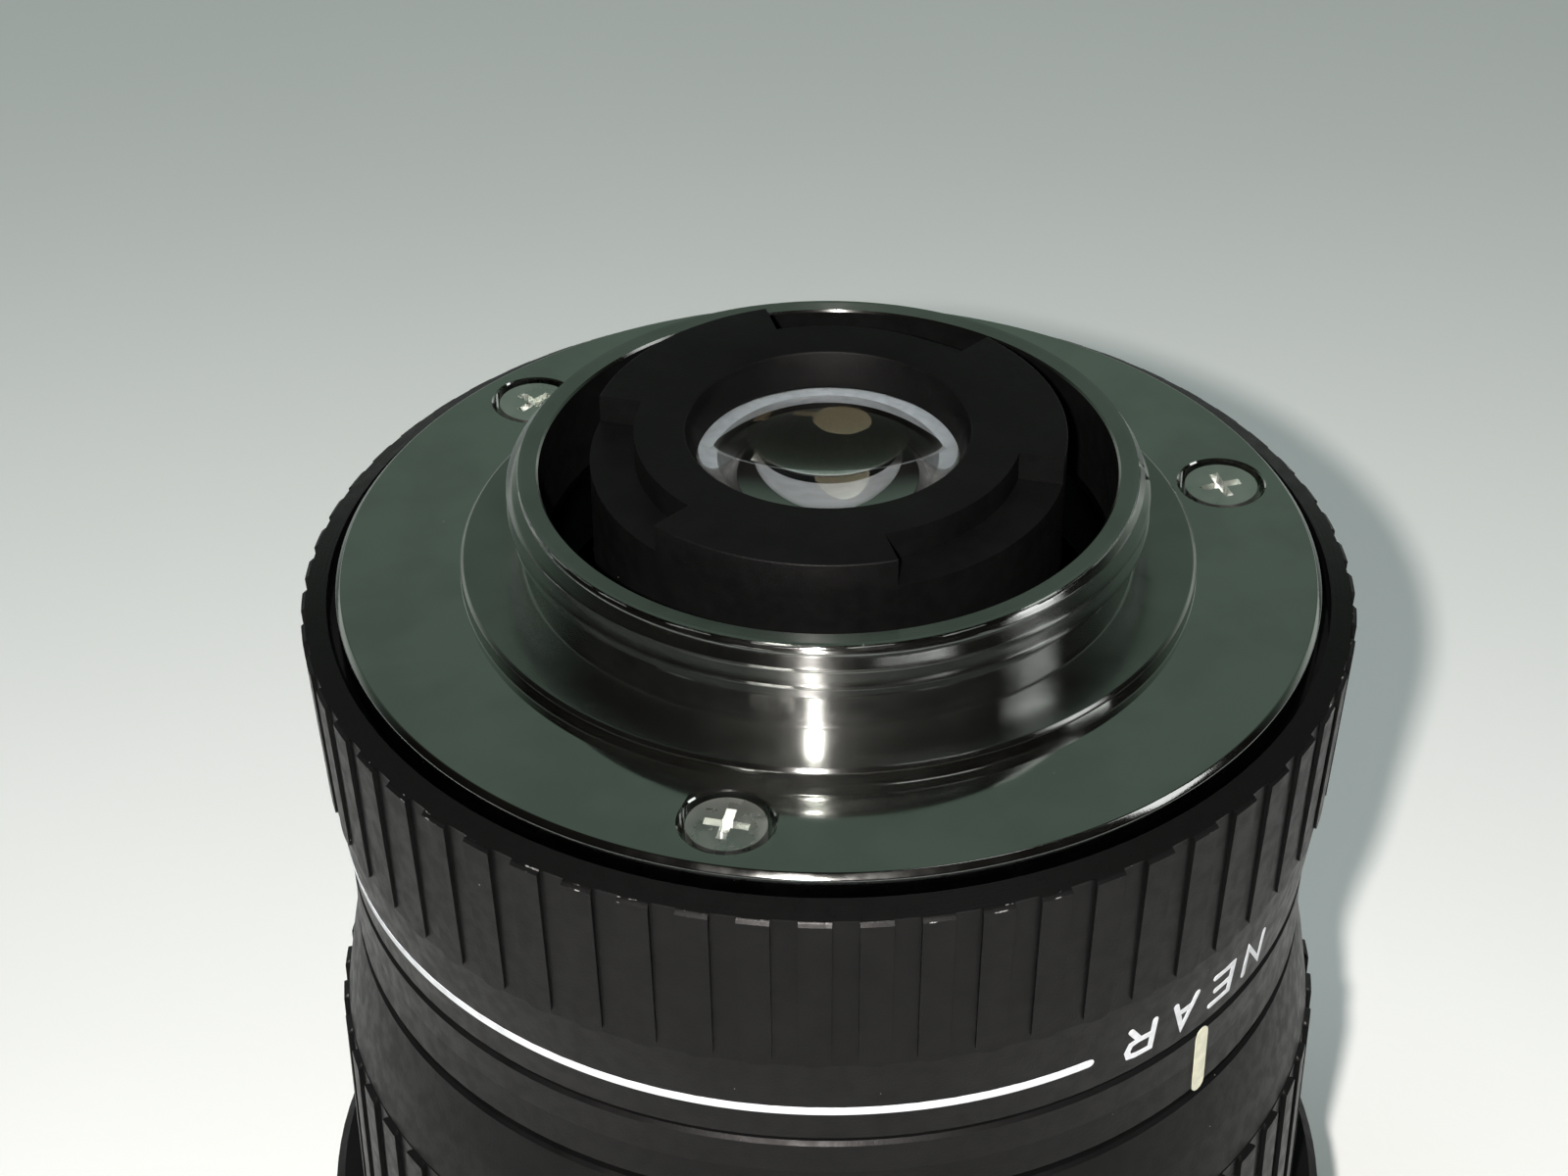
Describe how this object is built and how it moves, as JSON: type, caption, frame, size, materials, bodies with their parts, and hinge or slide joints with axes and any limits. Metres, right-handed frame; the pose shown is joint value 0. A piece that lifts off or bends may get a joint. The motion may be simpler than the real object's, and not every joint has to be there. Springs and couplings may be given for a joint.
{
  "type": "security camera lens",
  "caption": "Manual lens with a chromed, threaded rear mount, ribbed focus and iris rings, a bladed iris and a wide front barrel with a filter thread.",
  "frame": {"origin": "centre of the front rim, on the optical axis, where the lens stands", "axes": "+Z along the optical axis from the front rim up to the rear mount; the index line faces 44 degrees clockwise of +X, seen from the mount"},
  "size_m": [0.045, 0.045, 0.0536],
  "materials": {
    "chrome": "bright polished plate",
    "screw_steel": "bright nickel",
    "black_satin": "black anodised, satin, fine turned",
    "black_ribbed": "black anodised, satin, milled grip",
    "black_matt": "black anodised, dull",
    "black_inner": "black anodised, dull, hidden inside",
    "blade_steel": "blackened, thin sheet",
    "pin_steel": "ground",
    "coated_glass": "coated optical glass"
  },
  "bodies": {
    "barrel": {"mount_plate": "chrome", "mount_screws": "screw_steel", "main_barrel": "black_inner", "index_ring": "black_satin", "front_barrel": "black_satin", "front_glass": "coated_glass", "front_retainer": "black_matt", "front_cell": "black_inner", "second_glass": "coated_glass", "cell_retainer": "black_inner", "iris_base": "black_inner", "iris_retainer": "black_inner"},
    "focus_ring": {"focus_ring": "black_ribbed"},
    "rear_group": {"focus_carriage": "black_inner", "guide_pins": "pin_steel", "rear_holder": "black_matt", "rear_glass": "coated_glass", "rear_spacer": "black_inner", "crown_glass": "coated_glass", "flint_glass": "coated_glass"},
    "iris_ring": {"iris_ring": "black_ribbed", "iris_drive_pin": "pin_steel", "iris_cam_plate": "black_inner"},
    "iris_blade_1": {"iris_blade_1": "blade_steel"},
    "iris_blade_2": {"iris_blade_2": "blade_steel"},
    "iris_blade_3": {"iris_blade_3": "blade_steel"},
    "iris_blade_4": {"iris_blade_4": "blade_steel"},
    "iris_blade_5": {"iris_blade_5": "blade_steel"}
  },
  "joints": [
    {"name": "focus_turn", "type": "hinge", "parent": "barrel", "child": "focus_ring", "pos_m": [0, 0, 0.0407], "axis": [0, 0, 1], "range_deg": [0, 150]},
    {"name": "focus_slide", "type": "slide", "parent": "barrel", "child": "rear_group", "axis": [0, 0, 1], "range_m": [0, 0.003]},
    {"name": "iris_turn", "type": "hinge", "parent": "barrel", "child": "iris_ring", "pos_m": [0, 0, 0.0228], "axis": [0, 0, 1], "range_deg": [-60, 0]},
    {"name": "iris_blade_1_swing", "type": "hinge", "parent": "barrel", "child": "iris_blade_1", "pos_m": [0.0122, 0, 0.0289], "axis": [0, 0, 1], "range_deg": [0, 34]},
    {"name": "iris_blade_2_swing", "type": "hinge", "parent": "barrel", "child": "iris_blade_2", "pos_m": [0.00377, 0.0116, 0.0289], "axis": [0, 0, 1], "range_deg": [0, 34]},
    {"name": "iris_blade_3_swing", "type": "hinge", "parent": "barrel", "child": "iris_blade_3", "pos_m": [-0.00987, 0.00717, 0.0289], "axis": [0, 0, 1], "range_deg": [0, 34]},
    {"name": "iris_blade_4_swing", "type": "hinge", "parent": "barrel", "child": "iris_blade_4", "pos_m": [-0.00987, -0.00717, 0.0289], "axis": [0, 0, 1], "range_deg": [0, 34]},
    {"name": "iris_blade_5_swing", "type": "hinge", "parent": "barrel", "child": "iris_blade_5", "pos_m": [0.00377, -0.0116, 0.0289], "axis": [0, 0, 1], "range_deg": [0, 34]}
  ],
  "couplings": [
    {"joint": "focus_slide", "follows": "focus_turn", "m_per_rad": 0.0011459},
    {"joint": "iris_blade_1_swing", "follows": "iris_turn", "ratio": -0.56666},
    {"joint": "iris_blade_2_swing", "follows": "iris_turn", "ratio": -0.56666},
    {"joint": "iris_blade_3_swing", "follows": "iris_turn", "ratio": -0.56666},
    {"joint": "iris_blade_4_swing", "follows": "iris_turn", "ratio": -0.56666},
    {"joint": "iris_blade_5_swing", "follows": "iris_turn", "ratio": -0.56666}
  ]
}
